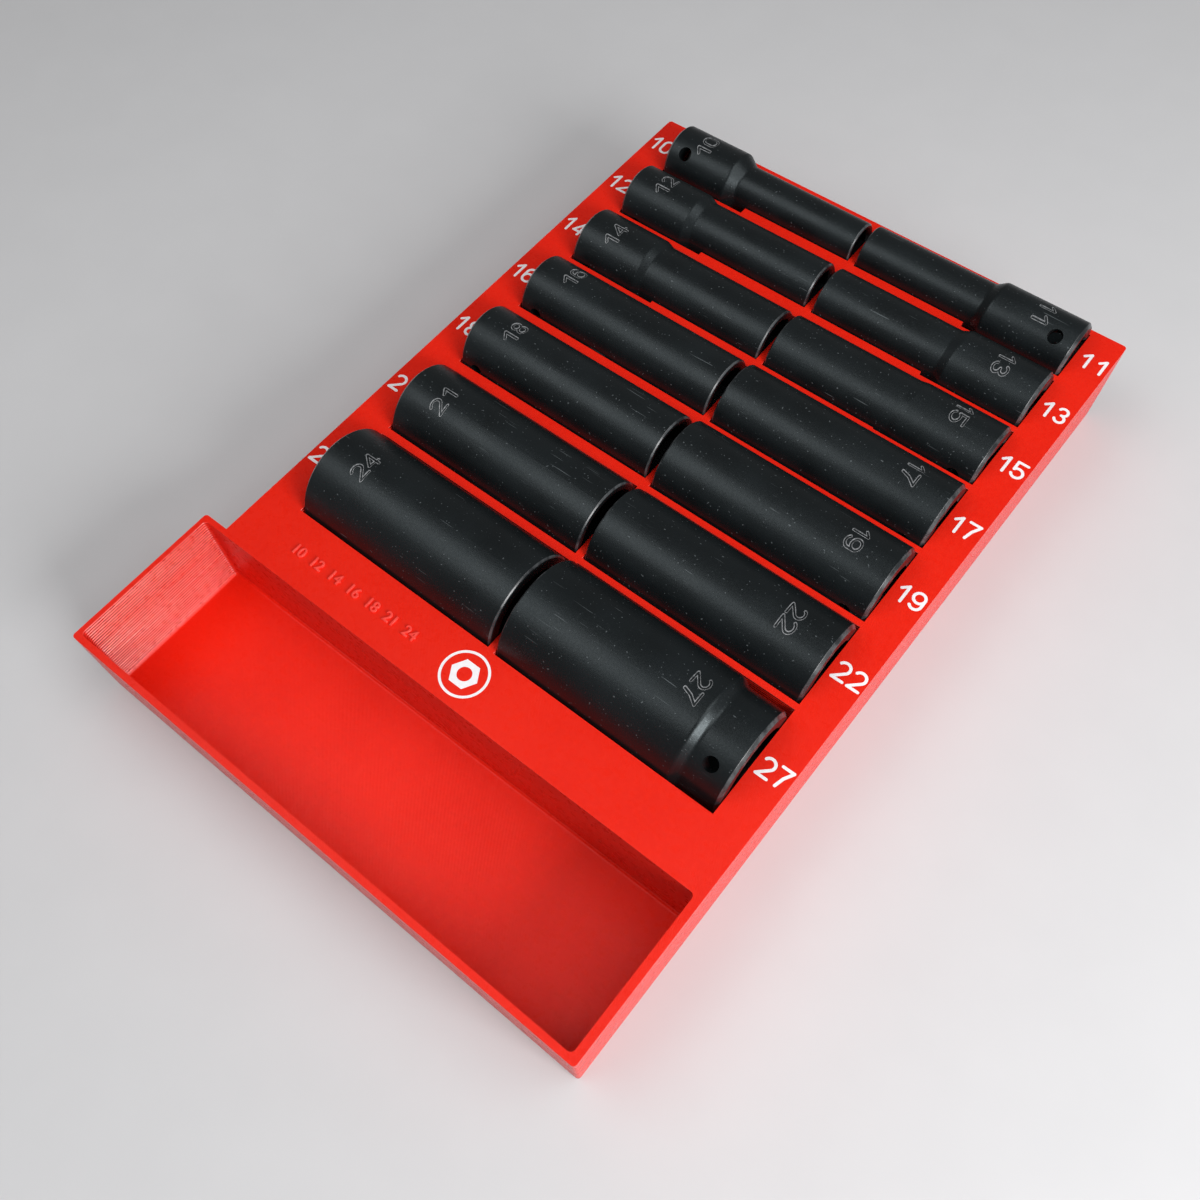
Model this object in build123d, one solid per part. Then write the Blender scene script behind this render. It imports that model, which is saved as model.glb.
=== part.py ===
from build123d import *
import math
import os

# Socket organizer tray with its fourteen deep sockets. Sizes are in millimetres.
# The layout frame has x = 0 at the socket block's left side, y = 0 where the bin meets the
# block, and z = 0 at the top face. PART_FRAME moves it so that the finished part stands on
# z = 0 with the middle of its outline at x = y = 0.

# Socket block, seen from above with the bin in front
LEFT_MARGIN = 14.0
RIGHT_MARGIN = 12.1
WEB = 2.7
FRONT_LAND = 19.2
RIDGE = 2.12
BACK_WALL = 2.0

# Open bin in front of the block
BIN_DEPTH = 56.5
BIN_JUT = 9.55
BIN_LEFT_WALL = 1.8
BIN_RIGHT_WALL = 2.6
BIN_FRONT_WALL = 2.2
BIN_BACK_WALL = 1.95
BIN_FLOOR = 2.0
BIN_CORNER_RADIUS = 1.5
BIN_FLOOR_RADIUS = 1.2

# Tray body
TRAY_HEIGHT = 34.0
CORNER_RADIUS = 1.2
BASE_RADIUS = 1.0

# Sockets, all of one length
SOCKET_LENGTH = 80.0
DRIVE_SQUARE = 12.85
DRIVE_DEPTH = 17.0
DRIVE_LEAD = 0.8
DRIVE_BEVEL = 1.0
NOSE_BEVEL = 0.5
BEVEL_ROUNDING = 0.35
TAPER_ROUNDING = 2.0
HEX_SIDES = 6
HEX_PLAY = 0.15
HEX_DEPTH = 26.0
HEX_LEAD = 1.6
BORE_STEP = 0.5
PIN_HOLE_DIAMETER = 4.9
PIN_HOLE_PLACE = 7.2

# How the sockets lie in their pockets
SIDE_GAP = 0.45
REST_GAP = 0.3
END_PLAY = 0.6
LEFT_DRIVE_GAP = 0.3
RIGHT_NOSE_GAP = 0.3
POCKET_STEP_PLACE = 36.3

# Each socket: nose and drive diameters, where the taper between them starts and ends (from the
# drive end), how far the axis lies under the top face, how far the socket is turned about its
# axis, and the place and turn of the size stamped into it.
SOCKET_SHAPES = {
    10: {"nose": 16.1, "drive": 21.7, "taper": (26.5, 30.7), "drop": 0.0, "turn": 40.0, "stamp": (12.3, 5.0)},
    11: {"nose": 17.4, "drive": 21.5, "taper": (30.8, 34.0), "drop": 0.0, "turn": -33.0, "stamp": (13.9, 0.0)},
    12: {"nose": 19.5, "drive": 22.5, "taper": (26.7, 30.2), "drop": 0.8, "turn": 96.0, "stamp": (11.9, 0.0)},
    13: {"nose": 20.5, "drive": 23.3, "taper": (29.5, 32.9), "drop": 1.4, "turn": 84.0, "stamp": (13.9, -5.0)},
    14: {"nose": 22.9, "drive": 25.2, "taper": (26.8, 30.0), "drop": 2.8, "turn": 88.0, "stamp": (11.9, 10.0)},
    15: {"nose": 24.3, "drive": 25.2, "taper": (30.0, 32.7), "drop": 3.2, "turn": 98.0, "stamp": (14.4, 8.0)},
    16: {"nose": 25.0, "drive": 25.0, "drop": 2.2, "turn": 82.0, "stamp": (13.2, -10.0)},
    17: {"nose": 26.6, "drive": 26.6, "drop": 2.8, "turn": 93.0, "stamp": (14.4, 5.0)},
    18: {"nose": 26.0, "drive": 26.0, "drop": 1.3, "turn": 86.0, "stamp": (14.0, -3.0)},
    19: {"nose": 29.4, "drive": 29.4, "drop": 2.8, "turn": 95.0, "stamp": (14.4, 3.0)},
    21: {"nose": 30.9, "drive": 30.9, "drop": 3.6, "turn": 99.0, "stamp": (14.0, 10.0)},
    22: {"nose": 31.1, "drive": 31.1, "drop": 3.8, "turn": 85.0, "stamp": (14.4, 0.0)},
    24: {"nose": 37.7, "drive": 37.7, "drop": 3.9, "turn": 91.0, "stamp": (14.0, 0.0)},
    27: {"nose": 39.1, "drive": 35.4, "taper": (13.4, 16.1), "drop": 3.9, "turn": -42.0, "stamp": (22.0, 6.0)},
}

# Rows of pockets from the bin to the back: the sizes in pairs, left and right, largest first
SIZES = sorted(SOCKET_SHAPES)
ROWS = list(zip(SIZES[::2], SIZES[1::2]))[::-1]

# Size numerals stamped into the sockets: the numerals below, made lower and narrower, as a
# wide shallow stroke with a narrow deeper one in it
STAMP_WIDENESS = 1.05
STAMP_TALLNESS = 0.82
STAMP_WIDE_STROKE = 1.2
STAMP_WIDE_DEPTH = 0.1
STAMP_NARROW_STROKE = 0.65
STAMP_NARROW_DEPTH = 0.3

# White numerals let into the top face beside each socket
NUMERAL_HEIGHT = 6.15
NUMERAL_STROKE = 0.95
NUMERAL_PITCH = 5.35
NUMERAL_THICKNESS = 0.6
NUMERAL_RISE = 0.4
LEFT_NUMERAL_PLACE = 5.8
RIGHT_NUMERAL_PLACE = 5.6
INLAY_GAP = 0.03

# Round mark let into the front land: a ring with a hexagon nut in it
MARK_DIAMETER = 15.9
MARK_STROKE = 0.85
NUT_WIDTH = 8.6
NUT_BORE = 4.8
MARK_FRONT = 8.75

CUT_CLEARANCE = 5.0

# Sizes that follow from the ones above
POCKET_LENGTH = SOCKET_LENGTH + END_PLAY
BLOCK_WIDTH = LEFT_MARGIN + POCKET_LENGTH + WEB + POCKET_LENGTH + RIGHT_MARGIN
RIGHT_POCKET_PLACE = LEFT_MARGIN + POCKET_LENGTH + WEB


def pocket_width(diameter):
    return diameter + 2 * SIDE_GAP


def widest(size):
    shape = SOCKET_SHAPES[size]
    return pocket_width(max(shape["nose"], shape["drive"]))


def row_centres():
    """Distance of each row's axis from the bin, and of the last pocket's far side."""
    centres = []
    edge = FRONT_LAND
    for pair in ROWS:
        width = max(widest(size) for size in pair)
        centres.append(edge + width / 2)
        edge += width + RIDGE
    return centres, edge - RIDGE


ROW_CENTRES, POCKETS_END = row_centres()
BLOCK_DEPTH = POCKETS_END + BACK_WALL
PART_FRAME = Pos(
    (BIN_JUT - BLOCK_WIDTH) / 2,
    (BIN_DEPTH - BLOCK_DEPTH) / 2,
    TRAY_HEIGHT,
)


# Numerals: the strokes' centre lines, from a cell's lower left corner. A bar is two end
# points, and a bend is a centre, a radius, a start angle and a sweep in degrees.
LEFT = 0.0
MIDDLE = 1.85
RIGHT = 3.7
TOP = NUMERAL_HEIGHT
BOWL = 1.85
LOW = BOWL
HIGH = TOP - BOWL
SMALL_BOWL = 1.5
LOWER_BOWL = TOP / 2 - SMALL_BOWL
FLAG = 1.0
STEM = 2.9
FLAG_HEIGHT = 4.4
FOUR_BAR = 1.55
FOUR_STEM = 2.75
FIVE_LEFT = 0.35
FIVE_SHOULDER = 3.0
SEVEN_KNEE = (2.0, 3.1)
SEVEN_FOOT = (1.2, 0.0)
FULL_TURN = 360
HALF_TURN = 180

TWO_START = 150
TWO_REACH = math.hypot(MIDDLE, HIGH)
TWO_END = math.degrees(math.acos(BOWL / TWO_REACH) - math.pi + math.atan(HIGH / MIDDLE))
TWO_NECK = (
    MIDDLE + BOWL * math.cos(math.radians(TWO_END)),
    HIGH + BOWL * math.sin(math.radians(TWO_END)),
)

NUMERAL_BARS = {
    0: [((LEFT, LOW), (LEFT, HIGH)), ((RIGHT, LOW), (RIGHT, HIGH))],
    1: [((STEM, 0), (STEM, TOP)), ((FLAG, FLAG_HEIGHT), (STEM, TOP))],
    2: [((LEFT, 0), TWO_NECK), ((LEFT, 0), (RIGHT, 0))],
    4: [
        ((FOUR_STEM, TOP), (LEFT, FOUR_BAR)),
        ((LEFT, FOUR_BAR), (RIGHT, FOUR_BAR)),
        ((FOUR_STEM, 0), (FOUR_STEM, TOP)),
    ],
    5: [((FIVE_LEFT, TOP), (RIGHT, TOP)), ((FIVE_LEFT, TOP), (FIVE_LEFT, FIVE_SHOULDER))],
    6: [((LEFT, LOW), (LEFT, HIGH))],
    7: [((LEFT, TOP), (RIGHT, TOP)), ((RIGHT, TOP), SEVEN_KNEE), (SEVEN_KNEE, SEVEN_FOOT)],
    9: [((RIGHT, LOW), (RIGHT, HIGH))],
}
NUMERAL_BENDS = {
    0: [((MIDDLE, HIGH), BOWL, 0, HALF_TURN), ((MIDDLE, LOW), BOWL, HALF_TURN, HALF_TURN)],
    2: [((MIDDLE, HIGH), BOWL, TWO_START, TWO_END - TWO_START)],
    3: [
        ((MIDDLE, TOP - SMALL_BOWL), SMALL_BOWL, 155, -245),
        ((MIDDLE, LOWER_BOWL), LOWER_BOWL, 90, -250),
    ],
    5: [((MIDDLE, LOW), BOWL, 145, -300)],
    6: [((MIDDLE, LOW), BOWL, 0, FULL_TURN), ((MIDDLE, HIGH), BOWL, HALF_TURN, -145)],
    8: [
        ((MIDDLE, TOP - SMALL_BOWL), SMALL_BOWL, 0, FULL_TURN),
        ((MIDDLE, LOWER_BOWL), LOWER_BOWL, 0, FULL_TURN),
    ],
    9: [((MIDDLE, HIGH), BOWL, 0, FULL_TURN), ((MIDDLE, LOW), BOWL, 0, -145)],
}


def bar(start, end, stroke):
    """A straight stroke with round ends."""
    run = Vector(*end) - Vector(*start)
    turn = math.degrees(math.atan2(run.Y, run.X))
    place = (Vector(*start) + Vector(*end)) * 0.5
    return Pos(place) * Rot(Z=turn) * SlotCenterToCenter(run.length, stroke)


def ring(centre, radius, stroke):
    return Pos(*centre) * (Circle(radius + stroke / 2) - Circle(radius - stroke / 2))


def bend(centre, radius, start, sweep, stroke):
    """A curved stroke with round ends, or a closed one."""
    if sweep == FULL_TURN:
        return ring(centre, radius, stroke)
    return SlotArc(CenterArc(centre, radius, start, sweep), stroke)


def numeral(digit, stroke):
    strokes = [bar(*ends, stroke) for ends in NUMERAL_BARS.get(digit, [])]
    strokes += [bend(*curve, stroke) for curve in NUMERAL_BENDS.get(digit, [])]
    return Sketch() + strokes


def ink(digit):
    """Left and right limits of a numeral's centre lines in its cell."""
    return (FLAG, STEM) if digit == 1 else (LEFT, RIGHT)


def size_numerals(size, stroke):
    """The two numerals of a size, centred on their strokes."""
    tens, units = divmod(size, 10)
    start = ink(tens)[0]
    end = NUMERAL_PITCH + ink(units)[1]
    shift = Pos(-(start + end) / 2, -TOP / 2)
    return [shift * numeral(tens, stroke), shift * Pos(NUMERAL_PITCH, 0) * numeral(units, stroke)]


def numeral_places():
    """Where each size's numerals lie on the top face."""
    places = {}
    for (left, right), row in zip(ROWS, ROW_CENTRES):
        places[left] = Pos(LEFT_NUMERAL_PLACE, row + NUMERAL_RISE)
        places[right] = Pos(BLOCK_WIDTH - RIGHT_NUMERAL_PLACE, row + NUMERAL_RISE)
    return places


NUMERAL_PLACES = numeral_places()
MARK_PLACE = Pos(BLOCK_WIDTH / 2, MARK_FRONT)


def hexagon(half_width):
    return RegularPolygon(half_width, HEX_SIDES, major_radius=False)


def mark_faces(gap):
    """The ring and the hexagon nut of the round mark, each grown by a gap."""
    radius = (MARK_DIAMETER - MARK_STROKE) / 2
    nut = hexagon(NUT_WIDTH / 2 + gap) - Circle(NUT_BORE / 2 - gap)
    return [ring((0, 0), radius, MARK_STROKE + 2 * gap), nut]


def inlays(faces, place):
    """White pieces flush with the top face."""
    solids = [extrude(place * face, amount=-NUMERAL_THICKNESS) for face in faces]
    return Compound(children=[solid.solid() for solid in solids])


def recesses(faces, place):
    """Shallow cuts in the top face that take the white pieces."""
    depth = NUMERAL_THICKNESS + INLAY_GAP
    return [extrude(place * face, amount=-depth) for face in faces]


def pocket_channel(width, floor, start, end):
    """A round-bottomed channel along X, open at the top face."""
    centre = floor + width / 2
    section = Pos(0, centre) * Circle(width / 2)
    section += Pos(0, (centre + CUT_CLEARANCE) / 2) * Rectangle(width, CUT_CLEARANCE - centre)
    return Pos(start, 0, 0) * extrude(Plane.YZ * section, amount=end - start)


def pocket(size, is_left):
    """The space for one socket, from x = 0 at its left end wall."""
    shape = SOCKET_SHAPES[size]
    nose_floor = -shape["drop"] - shape["nose"] / 2 - REST_GAP
    wide_floor = min(nose_floor, -shape["drop"] - shape["drive"] / 2 - REST_GAP)
    nose = pocket_channel(pocket_width(shape["nose"]), nose_floor, 0, POCKET_LENGTH)
    if shape["drive"] <= shape["nose"]:
        return nose
    drive_gap = LEFT_DRIVE_GAP if is_left else END_PLAY - RIGHT_NOSE_GAP
    step = drive_gap + POCKET_STEP_PLACE
    start, end = (0, step) if is_left else (POCKET_LENGTH - step, POCKET_LENGTH)
    return nose + pocket_channel(widest(size), wide_floor, start, end)


def pockets():
    cuts = []
    for (left, right), row in zip(ROWS, ROW_CENTRES):
        cuts.append(Pos(LEFT_MARGIN, row) * pocket(left, True))
        cuts.append(Pos(RIGHT_POCKET_PLACE, row) * pocket(right, False))
    return cuts


def tray_body():
    """The outside of the block and bin in one L-shaped outline, rounded at its edges."""
    outline = Polyline(
        (-BIN_JUT, -BIN_DEPTH),
        (BLOCK_WIDTH, -BIN_DEPTH),
        (BLOCK_WIDTH, BLOCK_DEPTH),
        (0, BLOCK_DEPTH),
        (0, 0),
        (-BIN_JUT, 0),
        close=True,
    )
    body = extrude(make_face(outline), amount=-TRAY_HEIGHT)
    inner_corner = body.edges().filter_by(Axis.Z).sort_by_distance((0, 0, -TRAY_HEIGHT / 2))[0]
    outer_corners = body.edges().filter_by(Axis.Z) - [inner_corner]
    body = fillet(outer_corners, CORNER_RADIUS)
    return fillet(body.faces().sort_by(Axis.Z)[0].outer_wire().edges(), BASE_RADIUS)


def bin_space():
    """The open bin, rounded at its upright corners and along its floor."""
    left = BIN_LEFT_WALL - BIN_JUT
    right = BLOCK_WIDTH - BIN_RIGHT_WALL
    front = BIN_FRONT_WALL - BIN_DEPTH
    back = -BIN_BACK_WALL
    depth = TRAY_HEIGHT - BIN_FLOOR
    floor = Pos((left + right) / 2, (front + back) / 2, -depth) * Rectangle(right - left, back - front)
    space = extrude(floor, amount=depth + CUT_CLEARANCE)
    space = fillet(space.edges().filter_by(Axis.Z), BIN_CORNER_RADIUS)
    return fillet(space.faces().sort_by(Axis.Z)[0].edges(), BIN_FLOOR_RADIUS)


def tray():
    cuts = [bin_space()] + pockets()
    for size, place in NUMERAL_PLACES.items():
        cuts += recesses(size_numerals(size, NUMERAL_STROKE + 2 * INLAY_GAP), place)
    cuts += recesses(mark_faces(INLAY_GAP), MARK_PLACE)
    return tray_body() - cuts


def socket_outside(shape):
    """The turned outside, along X from the drive end, rounded at its bevels and its taper."""
    drive = shape["drive"] / 2
    nose = shape["nose"] / 2
    drive_edge = [(0, drive - DRIVE_BEVEL), (DRIVE_BEVEL, drive)]
    nose_edge = [(SOCKET_LENGTH - NOSE_BEVEL, nose), (SOCKET_LENGTH, nose - NOSE_BEVEL)]
    taper = []
    if drive != nose:
        taper_start, taper_end = shape["taper"]
        taper = [(taper_start, drive), (taper_end, nose)]
    outline = [(0, 0)] + drive_edge + taper + nose_edge + [(SOCKET_LENGTH, 0)]
    profile = make_face(Polyline(*outline, close=True))
    profile = fillet(corners_at(profile, drive_edge + nose_edge), BEVEL_ROUNDING)
    if taper:
        profile = fillet(corners_at(profile, taper), TAPER_ROUNDING)
    return revolve(profile, Axis.X)


def corners_at(profile, places):
    return [profile.vertices().sort_by_distance(place)[0] for place in places]


def square_drive():
    """The square drive recess with a lead-in at its mouth."""
    recess = extrude(Plane.YZ * Rectangle(DRIVE_SQUARE, DRIVE_SQUARE), amount=DRIVE_DEPTH)
    mouth = Plane.YZ * Rectangle(DRIVE_SQUARE + 2 * DRIVE_LEAD, DRIVE_SQUARE + 2 * DRIVE_LEAD)
    throat = Plane.YZ.offset(DRIVE_LEAD) * Rectangle(DRIVE_SQUARE, DRIVE_SQUARE)
    return recess + loft([mouth.face(), throat.face()])


def hex_opening(size):
    """The hexagon at the nose with a cone lead-in, and the plain bore behind it."""
    half_width = (size + HEX_PLAY) / 2
    mouth_radius = half_width / math.cos(math.pi / HEX_SIDES) + HEX_LEAD / 2
    seat = Plane.YZ.offset(SOCKET_LENGTH - HEX_DEPTH)
    opening = extrude(seat * hexagon(half_width), amount=HEX_DEPTH)
    lead = Pos(SOCKET_LENGTH - HEX_LEAD, 0, 0) * Rot(Y=90) * Cone(
        mouth_radius - HEX_LEAD, mouth_radius, HEX_LEAD, align=(Align.CENTER, Align.CENTER, Align.MIN)
    )
    bore = Rot(Y=90) * Cylinder(
        size / 2 - BORE_STEP, SOCKET_LENGTH - HEX_DEPTH, align=(Align.CENTER, Align.CENTER, Align.MIN)
    )
    return opening + lead + bore


def pin_hole(shape):
    """The hole for the retaining pin, through both walls near the drive end."""
    return Pos(PIN_HOLE_PLACE, 0, 0) * Cylinder(PIN_HOLE_DIAMETER / 2, shape["drive"] + CUT_CLEARANCE)


def stamp(size):
    """The size pressed into the widest part of the outside, its top towards the drive end."""
    shape = SOCKET_SHAPES[size]
    place, turn = shape["stamp"]
    radius = max(shape["nose"], shape["drive"]) / 2
    axis_plane = Plane(origin=(place, 0, 0), x_dir=(0, 1, 0), z_dir=(0, 0, 1))
    squeeze = (STAMP_WIDENESS, STAMP_TALLNESS, 1)
    cuts = []
    for stroke, depth in (
        (STAMP_WIDE_STROKE, STAMP_WIDE_DEPTH),
        (STAMP_NARROW_STROKE, STAMP_NARROW_DEPTH),
    ):
        core = Rot(Y=90) * Cylinder(radius - depth, 2 * SOCKET_LENGTH)
        for shape_of_numeral in size_numerals(size, stroke):
            face = axis_plane * scale(shape_of_numeral, by=squeeze)
            cuts.append(Rot(X=turn) * (extrude(face, amount=radius + CUT_CLEARANCE) - core))
    return cuts


def socket(size):
    """One deep socket along X, drive end at x = 0, with its pin hole turned to its place."""
    shape = SOCKET_SHAPES[size]
    body = socket_outside(shape) - square_drive() - hex_opening(size) - pin_hole(shape)
    return Rot(X=shape["turn"]) * body - stamp(size)


def socket_places():
    """Where each socket lies: left ones with the drive end out to the left, right ones to the right."""
    places = {}
    for (left, right), row in zip(ROWS, ROW_CENTRES):
        left_end = LEFT_MARGIN + LEFT_DRIVE_GAP
        right_end = RIGHT_POCKET_PLACE + RIGHT_NOSE_GAP + SOCKET_LENGTH
        places[left] = Pos(left_end, row, -SOCKET_SHAPES[left]["drop"])
        places[right] = Pos(right_end, row, -SOCKET_SHAPES[right]["drop"]) * Rot(Z=180)
    return places


def save(shape, name):
    placed = PART_FRAME * shape
    placed.label = name
    export_step(placed, f"parts/{name}.step")


os.makedirs("parts", exist_ok=True)
save(tray(), "tray")
for size, place in socket_places().items():
    save(place * socket(size), f"socket_{size}mm")
for size, place in NUMERAL_PLACES.items():
    save(inlays(size_numerals(size, NUMERAL_STROKE), place), f"numerals_{size}")
save(inlays(mark_faces(0), MARK_PLACE), "round_mark")
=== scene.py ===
import math
import bpy
from mathutils import Matrix, Vector


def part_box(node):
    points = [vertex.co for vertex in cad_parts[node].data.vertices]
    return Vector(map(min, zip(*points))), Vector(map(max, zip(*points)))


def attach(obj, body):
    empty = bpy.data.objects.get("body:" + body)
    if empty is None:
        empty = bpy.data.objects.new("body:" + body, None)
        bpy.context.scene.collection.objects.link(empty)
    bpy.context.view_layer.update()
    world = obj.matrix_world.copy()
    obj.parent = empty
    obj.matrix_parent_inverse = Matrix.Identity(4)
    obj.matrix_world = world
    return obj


MM = 0.001

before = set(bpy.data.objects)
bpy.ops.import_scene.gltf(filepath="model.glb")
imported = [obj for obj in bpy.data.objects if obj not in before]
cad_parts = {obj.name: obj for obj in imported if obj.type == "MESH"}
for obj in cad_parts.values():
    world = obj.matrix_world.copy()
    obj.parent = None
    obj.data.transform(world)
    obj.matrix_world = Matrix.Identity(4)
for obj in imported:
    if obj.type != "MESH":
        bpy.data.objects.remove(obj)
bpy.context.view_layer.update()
bpy.ops.object.select_all(action="DESELECT")

# Where the socket block starts: its top face, its left side, and its line to the bin
BIN_JUT = 9.55 * MM
BIN_DEPTH = 56.5 * MM
tray_low, tray_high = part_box("tray")
TOP = tray_high.z
BLOCK_LEFT = tray_low.x + BIN_JUT
BLOCK_FRONT = tray_low.y + BIN_DEPTH

# The sockets. Those in the left column have their drive ends at the left.
SIZES = [10, 11, 12, 13, 14, 15, 16, 17, 18, 19, 21, 22, 24, 27]
LEFT_SIZES = SIZES[::2]

# Where a socket's stamped size starts and ends, from its drive end, and how far the stamp's walls
# lie below the round. The taper of one size pushes its stamp farther along.
STAMP_SPAN = (8.5 * MM, 18.0 * MM)
LONG_STAMP_SPAN = (18.3 * MM, 25.6 * MM)
LONG_STAMP_SIZE = 27
STAMP_WALL = (0.045 * MM, 0.27 * MM)

# The painted highlights on the edges at a socket's ends: how far they reach, and how steeply their
# faces slant
EDGE_SPAN = 1.1 * MM
EDGE_SLANT = (0.2, 0.95)

# A socket's finishes, by the index of the material on its faces
COAT, STAMP, RIM = 0, 1, 2

# Raised numbers on the front land: their place is the middle of the row's foot
LAND_TEXT = "10  12  14  16  18  21  24"
LAND_HEIGHT = 3.6 * MM
LAND_RISE = 0.55 * MM
LAND_EDGE = 0.08 * MM
LAND_PLACE = (49 * MM, 7.0 * MM)

# Red print: its layers, its raster, how far they stand out, and a painted highlight: a pale band
# under a top edge
LAYER_PITCH = 1.15 * MM
LAYER_HEIGHT = 6.8
LAYER_UNEVENNESS = 9.0
LAYER_STRETCH = (0.012, 0.012, 1)
RASTER_PITCH = 0.62 * MM
RASTER_HEIGHT = 0.4
SPOT_HEIGHT = 0.35
PRINT_RELIEF = 0.05 * MM
TOP_EDGE_HIGHLIGHT_BAND = (0.55 * MM, 0.15 * MM)
TOP_EDGE_HIGHLIGHT_AMOUNT = 0.6
SIDE_GLOSS = 1.0
FLAT_GLOSS = 0.19
DARK_RED = (0.75, 0.012, 0.0030)
FULL_RED = (0.80, 0.015, 0.0040)
LIGHT_RED = (0.82, 0.021, 0.007)
# The colour of the painted highlight under the top edges
HIGHLIGHT_RED = (0.95, 0.10, 0.08)
# The raised figures' reds, paler than the body red: a painted highlight
LIT_FIGURE_REDS = (0.90, 0.040, 0.028), (0.94, 0.075, 0.055)

# Black coat: its tones, the tone of its sheen, and the steel that shows through where it is worn
COAT_TONES = (0.0035, 0.0045, 0.0050), (0.0055, 0.0075, 0.0085)
SHEEN_TONE = (0.84, 0.96, 1.0, 1)
COAT_RELIEF = 0.012 * MM
WORN_STEEL = (0.16, 0.18, 0.19)
WEAR = 0.45
SCRATCH_STRETCH = (90, 2600, 900)
SCRATCH_TURN = 0.9
# The stamp walls' tones: bare steel and a painted highlight
STAMP_STEEL_AND_HIGHLIGHT_TONES = (0.09, 0.095, 0.10), (0.32, 0.33, 0.34)
# The end edges' tones: a painted highlight on the bevels
RIM_HIGHLIGHT_TONES = (0.012, 0.014, 0.016), (0.065, 0.07, 0.074)

# White inlay and floor
INLAY_TONES = (0.88, 0.83, 0.85), (0.94, 0.91, 0.93)
INLAY_RELIEF = 0.02 * MM
FLOOR_TONES = (0.60, 0.60, 0.61), (0.63, 0.63, 0.64)
FLOOR_WIDTH = 6.0

# Lamps: each one's place, width, depth and power. All face a point over the tray's middle.
LAMPS = {
    "window": ((0.84, -0.20, 0.44), 0.50, 0.36, 8.4),
    "upper_right": ((0.43, 0.14, 0.87), 0.70, 0.60, 3.1),
    "overhead": ((-0.34, -0.34, 0.86), 0.70, 0.50, 2.6),
}
LAMP_AIM = (0, 0, 0.03)
SKY_LEVEL = 0.19

# The photograph's camera, from the tray's straight edges
CAMERA_PLACE = (0.12552, -0.16074, 0.31998)
CAMERA_RIGHT = (0.77212, 0.63362, -0.04852)
CAMERA_UP = (-0.55738, 0.71192, 0.42720)
CAMERA_BACK = (0.30523, -0.30281, 0.90285)
CAMERA_SENSOR = 36
CAMERA_LENS = 32.26
CAMERA_SHIFT = (0.0315, 0.0664)
CAMERA_NEAR = 0.01


# ---------------------------------------------------------------- finishes

def finish(name):
    """A new material with its shader and node tree."""
    material = bpy.data.materials.new(name)
    material.use_nodes = True
    tree = material.node_tree
    return material, tree, tree.nodes["Principled BSDF"]


def add(tree, kind, **settings):
    """A new node with its settings."""
    node = tree.nodes.new(kind)
    for key, value in settings.items():
        setattr(node, key, value)
    return node


def set_shader(shader, **values):
    """Sets the shader's constant values."""
    sockets = {"roughness": "Roughness", "gloss": "Specular IOR Level", "sheen": "Specular Tint"}
    for key, value in values.items():
        shader.inputs[sockets[key]].default_value = value


def calculate(tree, operation, first, second=None, third=None):
    """A Math node: each value is a number or another node's output."""
    node = add(tree, "ShaderNodeMath", operation=operation)
    for socket, value in zip(node.inputs, (first, second, third)):
        if value is None:
            continue
        if isinstance(value, (int, float)):
            socket.default_value = value
        else:
            tree.links.new(value, socket)
    return node.outputs[0]


def ripple(tree, along, pitch):
    """A wave from 0 to 1 that repeats once every pitch."""
    wave = calculate(tree, "SINE", calculate(tree, "MULTIPLY", along, 2 * math.pi / pitch))
    return calculate(tree, "MULTIPLY_ADD", wave, 0.5, 0.5)


def grain(tree, scale, detail=2.0, stretch=(1, 1, 1), turn=0.0):
    """Noise on the piece's own coordinates, with its spots drawn out by stretch."""
    place = add(tree, "ShaderNodeTexCoord").outputs["Object"]
    mapping = add(tree, "ShaderNodeMapping")
    mapping.inputs["Rotation"].default_value = (0, 0, turn)
    mapping.inputs["Scale"].default_value = stretch
    tree.links.new(place, mapping.inputs["Vector"])
    noise = add(tree, "ShaderNodeTexNoise")
    noise.inputs["Scale"].default_value = scale
    noise.inputs["Detail"].default_value = detail
    tree.links.new(mapping.outputs[0], noise.inputs["Vector"])
    return noise.outputs["Fac"]


def span(tree, value, low, high, to_low=0.0, to_high=1.0):
    """Stretches a range of value over another range, clamped at its ends."""
    remap = add(tree, "ShaderNodeMapRange")
    tree.links.new(value, remap.inputs["Value"])
    remap.inputs["From Min"].default_value = low
    remap.inputs["From Max"].default_value = high
    remap.inputs["To Min"].default_value = to_low
    remap.inputs["To Max"].default_value = to_high
    return remap.outputs[0]


def mottle(tree, scale, detail=2.0, low=0.3, high=0.7, most=1.0):
    """Soft noise spread over the whole range from 0 to most."""
    return span(tree, grain(tree, scale, detail), low, high, 0.0, most)


def blend_colours(tree, amount, low, high):
    """A mix of two colours, each a tuple or another node's output."""
    mix = add(tree, "ShaderNodeMix", data_type="RGBA")
    tree.links.new(amount, mix.inputs[0])
    for socket, value in ((mix.inputs[6], low), (mix.inputs[7], high)):
        if isinstance(value, tuple):
            socket.default_value = (*value, 1)
        else:
            tree.links.new(value, socket)
    return mix.outputs[2]


def colour(tree, shader, amount, low, high):
    """Gives the shader a colour mixed from two."""
    tree.links.new(blend_colours(tree, amount, low, high), shader.inputs["Base Color"])


def raise_surface(tree, shader, height, distance):
    """Makes the surface look raised by height times distance."""
    bump = add(tree, "ShaderNodeBump")
    bump.inputs["Strength"].default_value = 1.0
    bump.inputs["Distance"].default_value = distance
    tree.links.new(height, bump.inputs["Height"])
    tree.links.new(bump.outputs[0], shader.inputs["Normal"])


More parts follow.
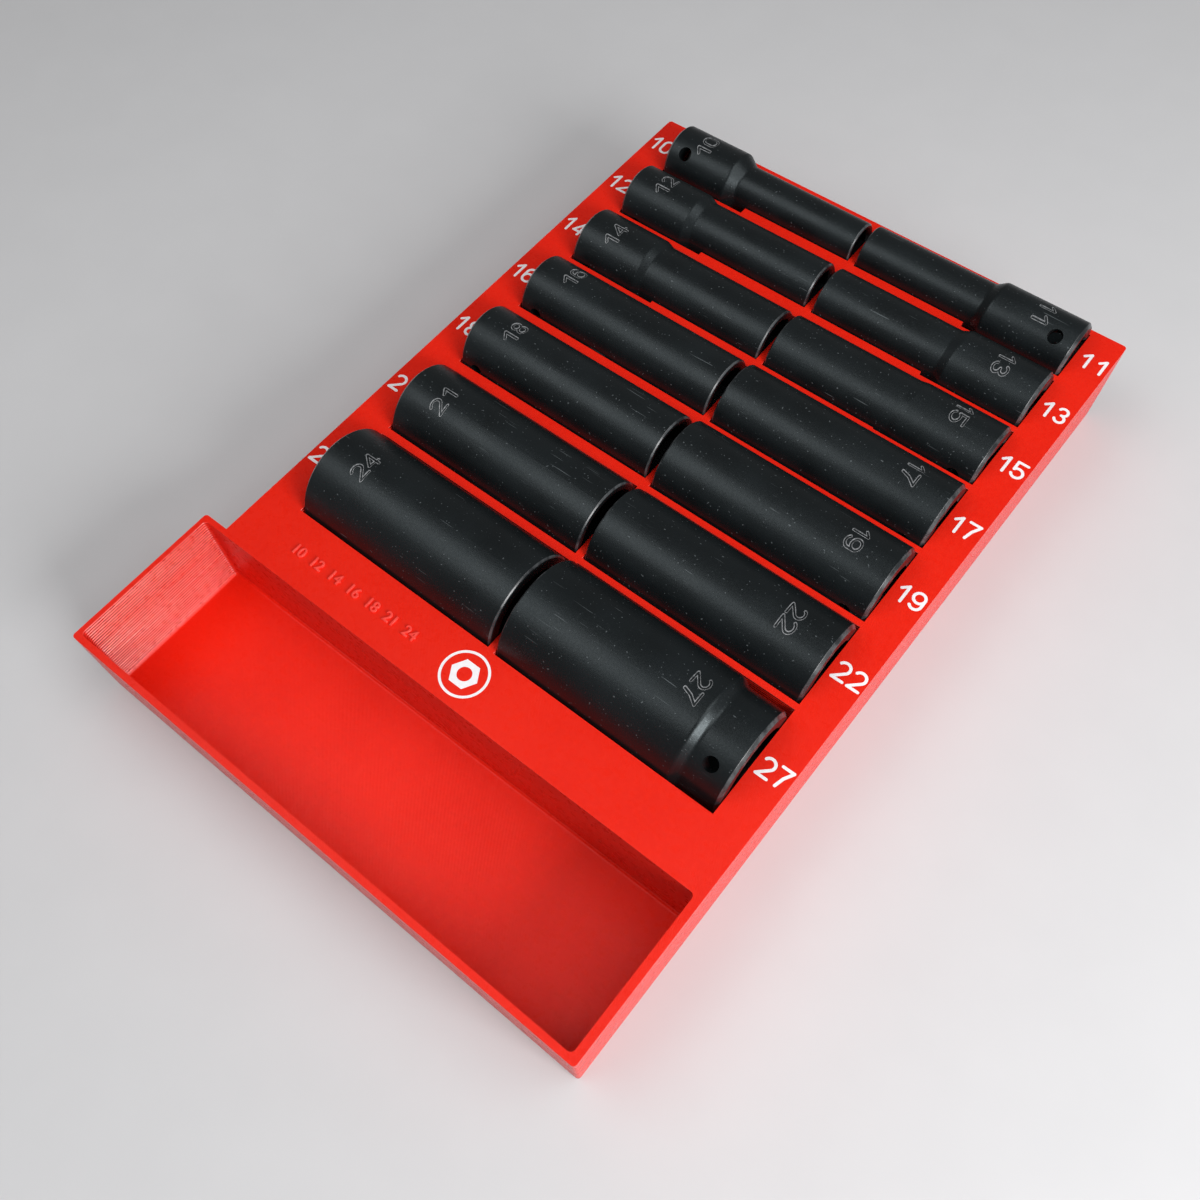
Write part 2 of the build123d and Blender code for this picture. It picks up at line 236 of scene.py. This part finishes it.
def red_print():
    """Glossy red printed plastic: stacked layers up the sides and a diagonal raster on flat faces."""
    material, tree, shader = finish("red_print")
    place = add(tree, "ShaderNodeSeparateXYZ")
    tree.links.new(add(tree, "ShaderNodeTexCoord").outputs["Object"], place.inputs[0])
    facing = add(tree, "ShaderNodeSeparateXYZ")
    tree.links.new(add(tree, "ShaderNodeNewGeometry").outputs["True Normal"], facing.inputs[0])
    flatness = span(tree, calculate(tree, "ABSOLUTE", facing.outputs["Z"]), 0.5, 0.9)

    layers = ripple(tree, place.outputs["Z"], LAYER_PITCH)
    even = calculate(tree, "MULTIPLY", layers, LAYER_HEIGHT)
    uneven = grain(tree, 900, stretch=LAYER_STRETCH)
    sides = calculate(tree, "MULTIPLY_ADD", uneven, LAYER_UNEVENNESS, even)

    diagonal = calculate(tree, "ADD", place.outputs["X"], place.outputs["Y"])
    raster = calculate(tree, "MULTIPLY", ripple(tree, diagonal, RASTER_PITCH), RASTER_HEIGHT)
    spots = grain(tree, 420, detail=3.0)
    flats = calculate(tree, "MULTIPLY_ADD", spots, SPOT_HEIGHT, raster)

    height = add(tree, "ShaderNodeMix")
    tree.links.new(flatness, height.inputs[0])
    tree.links.new(sides, height.inputs[2])
    tree.links.new(flats, height.inputs[3])
    raise_surface(tree, shader, height.outputs[0], PRINT_RELIEF)

    red = blend_colours(tree, mottle(tree, 28, low=0.35, high=0.65), DARK_RED, FULL_RED)
    body = blend_colours(tree, mottle(tree, 700, most=0.5), red, LIGHT_RED)
    # Painted highlight: steep faces are painted paler just under the top face, where the top edges
    # catch the light
    highlight_foot, highlight_top = TOP_EDGE_HIGHLIGHT_BAND
    highlight_near_top = span(
        tree, place.outputs["Z"], TOP - highlight_foot, TOP - highlight_top, 0.0, TOP_EDGE_HIGHLIGHT_AMOUNT
    )
    steepness = calculate(tree, "SUBTRACT", 1.0, flatness)
    colour(tree, shader, calculate(tree, "MULTIPLY", highlight_near_top, steepness), body, HIGHLIGHT_RED)

    tree.links.new(span(tree, spots, 0.3, 0.7, 0.24, 0.36), shader.inputs["Roughness"])
    gloss = span(tree, flatness, 0.0, 1.0, SIDE_GLOSS, FLAT_GLOSS)
    tree.links.new(gloss, shader.inputs["Specular IOR Level"])
    return material


def lit_raised_print():
    """Raised figures in the same red, painted paler as a highlight where the raised print catches the
    light.
    """
    material, tree, shader = finish("lit_raised_print")
    colour(tree, shader, mottle(tree, 700), *LIT_FIGURE_REDS)
    set_shader(shader, roughness=0.3)
    return material


def black_phosphate():
    """Black coated steel with a soft sheen, a fine grain, and a few rubbed specks and scratches."""
    material, tree, shader = finish("black_phosphate")
    cloud = mottle(tree, 60, detail=3.0)
    fine = mottle(tree, 1500)
    coat = blend_colours(tree, cloud, *COAT_TONES)

    specks = mottle(tree, 1500, detail=0.0, low=0.795, high=0.83)
    lines = grain(tree, 1, detail=0.0, stretch=SCRATCH_STRETCH, turn=SCRATCH_TURN)
    scratches = span(tree, lines, 0.79, 0.81)
    sparse = mottle(tree, 45, detail=1.0, low=0.52, high=0.62)
    rubbed = calculate(tree, "MULTIPLY_ADD", scratches, sparse, specks)
    colour(tree, shader, calculate(tree, "MULTIPLY", rubbed, WEAR), coat, WORN_STEEL)

    set_shader(shader, gloss=0.40, sheen=SHEEN_TONE)
    smooth = span(tree, cloud, 0, 1, 0.30, 0.37)
    rough = calculate(tree, "MULTIPLY_ADD", fine, 0.08, smooth)
    tree.links.new(rough, shader.inputs["Roughness"])
    raise_surface(tree, shader, fine, COAT_RELIEF)
    return material


def stamp_steel_and_highlight():
    """The walls of a numeral pressed into the black steel, painted brighter: bare steel with a
    painted highlight on its edges.
    """
    material, tree, shader = finish("stamp_steel_and_highlight")
    colour(tree, shader, mottle(tree, 900), *STAMP_STEEL_AND_HIGHLIGHT_TONES)
    set_shader(shader, roughness=0.28, gloss=0.8)
    return material


def painted_end_highlight():
    """A painted highlight on the bevelled edges at a socket's ends."""
    material, tree, shader = finish("painted_end_highlight")
    colour(tree, shader, mottle(tree, 260, detail=3.0, low=0.42, high=0.62), *RIM_HIGHLIGHT_TONES)
    set_shader(shader, roughness=0.3, gloss=0.6)
    return material


def white_inlay():
    """White printed plastic let into the red face."""
    material, tree, shader = finish("white_inlay")
    spots = grain(tree, 700)
    colour(tree, shader, span(tree, spots, 0.3, 0.7), *INLAY_TONES)
    set_shader(shader, roughness=0.45)
    raise_surface(tree, shader, spots, INLAY_RELIEF)
    return material


def pale_floor():
    """A plain pale floor, almost without a grain."""
    material, tree, shader = finish("pale_floor")
    colour(tree, shader, grain(tree, 40, detail=3.0), *FLOOR_TONES)
    set_shader(shader, roughness=0.8)
    return material


# ---------------------------------------------------------------- pieces

def dress(name, *materials):
    """Gives a CAD node its finishes."""
    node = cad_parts[name]
    node.data.materials.clear()
    for material in materials:
        node.data.materials.append(material)
    return node


def dress_socket(size, coat, stamp, rim):
    """Coats a socket, and paints the walls of its stamped size and its end edges brighter: bare steel
    with a painted highlight in the stamp, and a painted highlight on the end edges.
    """
    name = f"socket_{size}mm"
    node = dress(name, coat, stamp, rim)
    low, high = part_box(name)
    axis_y = (high.y + low.y) / 2
    axis_z = (high.z + low.z) / 2
    radius = (high.y - low.y) / 2
    start, end = LONG_STAMP_SPAN if size == LONG_STAMP_SIZE else STAMP_SPAN
    shallow, deep = STAMP_WALL
    least, most = EDGE_SLANT
    for face in node.data.polygons:
        centre = face.center
        depth = radius - math.hypot(centre.y - axis_y, centre.z - axis_z)
        from_drive = centre.x - low.x if size in LEFT_SIZES else high.x - centre.x
        from_end = min(centre.x - low.x, high.x - centre.x)
        if start < from_drive < end and shallow < depth < deep:
            face.material_index = STAMP
        elif from_end < EDGE_SPAN and least < abs(face.normal.x) < most:
            face.material_index = RIM
        else:
            face.material_index = COAT


def land_numbers(material):
    """A raised row of plain sizes along the land in front of the pockets."""
    bpy.ops.object.select_all(action="DESELECT")
    bpy.ops.object.text_add()
    piece = bpy.context.object
    piece.name = "land_numbers"
    piece.data.body = LAND_TEXT
    piece.data.align_x = "CENTER"
    bpy.context.view_layer.update()
    piece.data.size = LAND_HEIGHT / piece.dimensions.y
    piece.data.extrude = LAND_RISE - LAND_EDGE
    piece.data.bevel_depth = LAND_EDGE
    piece.data.bevel_resolution = 1
    bpy.ops.object.convert(target="MESH")
    along, across = LAND_PLACE
    piece.data.transform(Matrix.Translation((BLOCK_LEFT + along, BLOCK_FRONT + across, TOP)))
    piece.data.materials.append(material)
    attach(piece, "tray")


red = red_print()
black = black_phosphate()
stamp = stamp_steel_and_highlight()
rim = painted_end_highlight()
white = white_inlay()

dress("tray", red)
dress("round_mark", white)
for size in SIZES:
    dress(f"numerals_{size}", white)
    dress_socket(size, black, stamp, rim)

land_numbers(lit_raised_print())


# ---------------------------------------------------------------- floor, light and camera

def floor():
    """The floor under the tray."""
    bpy.ops.object.select_all(action="DESELECT")
    bpy.ops.mesh.primitive_plane_add(size=FLOOR_WIDTH)
    ground = bpy.context.object
    ground.name = "floor"
    ground.data.materials.append(pale_floor())


def lamp(name, place, width, depth, power):
    """A soft rectangular lamp that faces the tray."""
    light = bpy.data.lights.new(name, "AREA")
    light.shape = "RECTANGLE"
    light.size = width
    light.size_y = depth
    light.energy = power
    holder = bpy.data.objects.new(name, light)
    bpy.context.scene.collection.objects.link(holder)
    holder.location = place
    ray = Vector(LAMP_AIM) - Vector(place)
    holder.rotation_euler = ray.to_track_quat("-Z", "Y").to_euler()


def surroundings():
    """Even white light from all around."""
    world = bpy.data.worlds.new("surroundings")
    bpy.context.scene.world = world
    world.use_nodes = True
    background = world.node_tree.nodes["Background"]
    background.inputs["Color"].default_value = (1, 1, 1, 1)
    background.inputs["Strength"].default_value = SKY_LEVEL


def photo_camera():
    """The camera of the photograph."""
    data = bpy.data.cameras.new("photo_camera")
    data.sensor_width = CAMERA_SENSOR
    data.lens = CAMERA_LENS
    data.shift_x, data.shift_y = CAMERA_SHIFT
    data.clip_start = CAMERA_NEAR
    camera = bpy.data.objects.new("photo_camera", data)
    bpy.context.scene.collection.objects.link(camera)
    turn = Matrix((CAMERA_RIGHT, CAMERA_UP, CAMERA_BACK)).transposed().to_4x4()
    camera.matrix_world = Matrix.Translation(CAMERA_PLACE) @ turn
    bpy.context.scene.camera = camera


floor()
for name, (place, width, depth, power) in LAMPS.items():
    lamp(name, place, width, depth, power)
surroundings()
photo_camera()
bpy.context.scene.view_settings.view_transform = "Standard"
